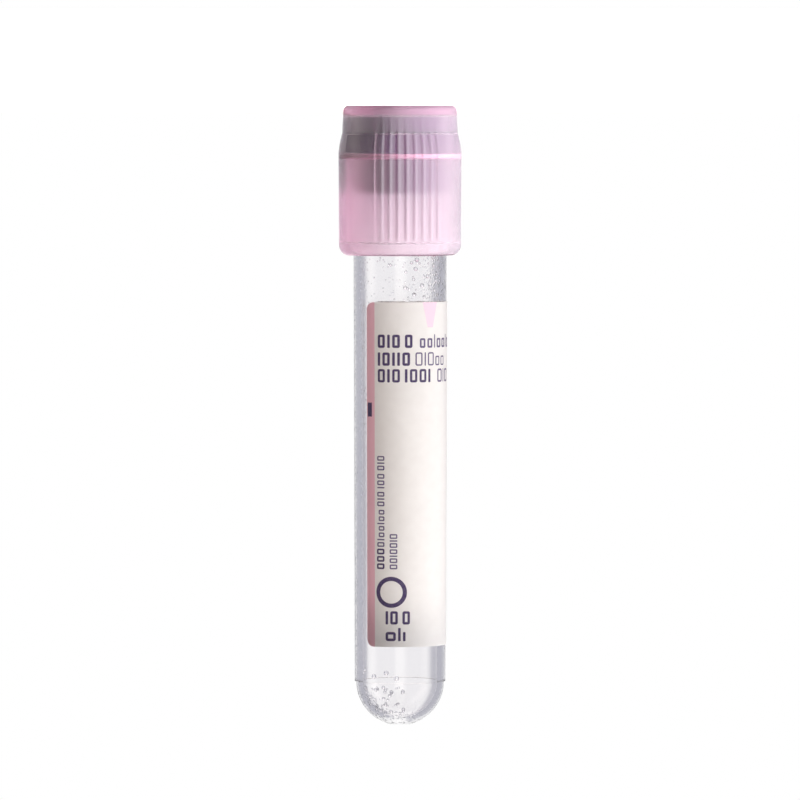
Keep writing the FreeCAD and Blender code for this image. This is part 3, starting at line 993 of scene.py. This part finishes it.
def make_floor():
    """A glowing white floor that carries on the tent's grey panels.

    A matt surface is lit by a card there instead, dark on the left.
    """
    bpy.ops.object.select_all(action="DESELECT")
    bpy.ops.mesh.primitive_circle_add(vertices=64, radius=FLOOR_R, fill_type="NGON")
    floor = new_piece("floor")
    material, tree = new_material("white_floor")
    path = add(tree, "ShaderNodeLightPath")
    place = add(tree, "ShaderNodeTexCoord")
    apart = add(tree, "ShaderNodeSeparateXYZ", {0: place.outputs["Object"]})
    paint = add(tree, "ShaderNodeBsdfDiffuse", {"Color": linear("#EDEDED")})
    glow = add(tree, "ShaderNodeEmission", {"Strength": 0.6})
    both = add(tree, "ShaderNodeAddShader", {0: paint.outputs[0], 1: glow.outputs[0]})
    panel = add(tree, "ShaderNodeEmission", {"Color": linear("#CCCCD2")})
    white = white_sides(tree, apart, path)
    shown = add(tree, "ShaderNodeMixShader", {0: white.outputs[0], 1: panel.outputs[0], 2: both.outputs[0]})
    left = add(tree, "ShaderNodeMapRange", {
        "Value": apart.outputs["X"],
        "From Min": -CARD_HALF,
        "From Max": CARD_HALF,
    })
    tone = add(tree, "ShaderNodeMix", {
        "Factor": left.outputs[0],
        "A": linear("#E0E2E6"),
        "B": linear("#604E48"),
    }, data_type="RGBA")
    card = add(tree, "ShaderNodeBsdfDiffuse", {"Color": tone.outputs["Result"]})
    lighting = gathers_light(tree, path)
    mix = add(tree, "ShaderNodeMixShader", {
        0: lighting.outputs[0],
        1: shown.outputs[0],
        2: card.outputs[0],
    })
    add(tree, "ShaderNodeOutputMaterial", {"Surface": mix.outputs[0]})
    floor.data.materials.append(material)


def hang_lamp(kind, name, place, aim, power, colour, **settings):
    """A lamp that only lights: neither the camera nor a bent or mirrored ray sees it."""
    bpy.ops.object.light_add(type=kind, location=place)
    lamp = bpy.context.object
    lamp.name = name
    lamp.data.energy = power
    lamp.data.color = linear(colour)[:3]
    for setting, value in settings.items():
        setattr(lamp.data, setting, value)
    lamp.visible_camera = False
    lamp.visible_glossy = False
    lamp.visible_transmission = False
    lamp.rotation_euler = (aim - place).to_track_quat("-Z", "Y").to_euler()


def make_lamps():
    """One soft lamp on the right, and narrow spots on the closure and the label."""
    side = math.radians(SOFT_BEARING)
    up = math.radians(SOFT_ELEVATION)
    place = Vector((-math.sin(side) * math.cos(up), -math.cos(side) * math.cos(up), math.sin(up)))
    shape = {"shape": "ELLIPSE", "size": SOFT_WIDE, "size_y": SOFT_HIGH}
    hang_lamp("AREA", "soft_lamp", place, Vector(), SOFT_POWER, "#FFFFFF", **shape)
    for name, bearing, height, wide, power, colour in SPOTS:
        side = math.radians(bearing)
        place = Vector((-math.sin(side), -math.cos(side), height + SPOT_RAISE))
        beam = {"spot_size": math.radians(wide), "spot_blend": SPOT_EDGE}
        hang_lamp("SPOT", name, place, Vector((0, 0, height)), power, colour, **beam)


def make_world():
    """A white tent with grey panels.  It lights matt surfaces warmly from the left, most from behind."""
    world = bpy.data.worlds.new("studio")
    bpy.context.scene.world = world
    world.use_nodes = True
    tree = world.node_tree
    tree.nodes.clear()
    path = add(tree, "ShaderNodeLightPath")
    place = add(tree, "ShaderNodeTexCoord")
    apart = add(tree, "ShaderNodeSeparateXYZ", {0: place.outputs["Generated"]})
    white = white_sides(tree, apart, path)
    tent = add(tree, "ShaderNodeMix", {
        "Factor": white.outputs[0],
        "A": linear("#B9B9C2"),
        "B": linear("#FFFFFF"),
    }, data_type="RGBA")
    shown = add(tree, "ShaderNodeBackground", {"Color": tent.outputs["Result"]})
    along = add(tree, "ShaderNodeVectorMath", {
        0: place.outputs["Generated"],
        1: BACK_LIGHT,
    }, operation="DOT_PRODUCT")
    behind = add(tree, "ShaderNodeMapRange", {
        "Value": along.outputs["Value"],
        "From Min": -0.5,
        "From Max": 1.0,
        "To Min": 0.2,
        "To Max": 1.2,
    })
    left = add(tree, "ShaderNodeMapRange", {"Value": apart.outputs["X"], "From Min": -0.8, "From Max": 0.8})
    warm = add(tree, "ShaderNodeMix", {
        "Factor": left.outputs[0],
        "A": linear("#FFFAF6"),
        "B": linear("#FFD4BA"),
    }, data_type="RGBA")
    light = add(tree, "ShaderNodeBackground", {
        "Color": warm.outputs["Result"],
        "Strength": behind.outputs[0],
    })
    lighting = gathers_light(tree, path)
    mix = add(tree, "ShaderNodeMixShader", {
        0: lighting.outputs[0],
        1: shown.outputs[0],
        2: light.outputs[0],
    })
    add(tree, "ShaderNodeOutputWorld", {"Surface": mix.outputs[0]})


def make_camera():
    """A long lens level with the closure's top, rolled so that the closure is up in the picture."""
    bpy.ops.object.camera_add(location=(0, -CAMERA_AWAY, CAMERA_HEIGHT))
    camera = bpy.context.object
    aim = Vector((0, 0, CAMERA_AIM)) - camera.location
    camera.rotation_mode = "QUATERNION"
    camera.rotation_quaternion = aim.to_track_quat("-Z", "Y") @ Quaternion((0, 0, 1), math.pi)
    camera.data.sensor_width = SENSOR
    camera.data.lens = SENSOR * CAMERA_AWAY / PICTURE_WIDTH
    bpy.context.scene.camera = camera


make_tube()
make_stopper()
make_shield()
make_label()
make_print()
make_drops()
make_floor()
make_lamps()
make_world()
make_camera()
bpy.context.scene.view_settings.view_transform = "Standard"
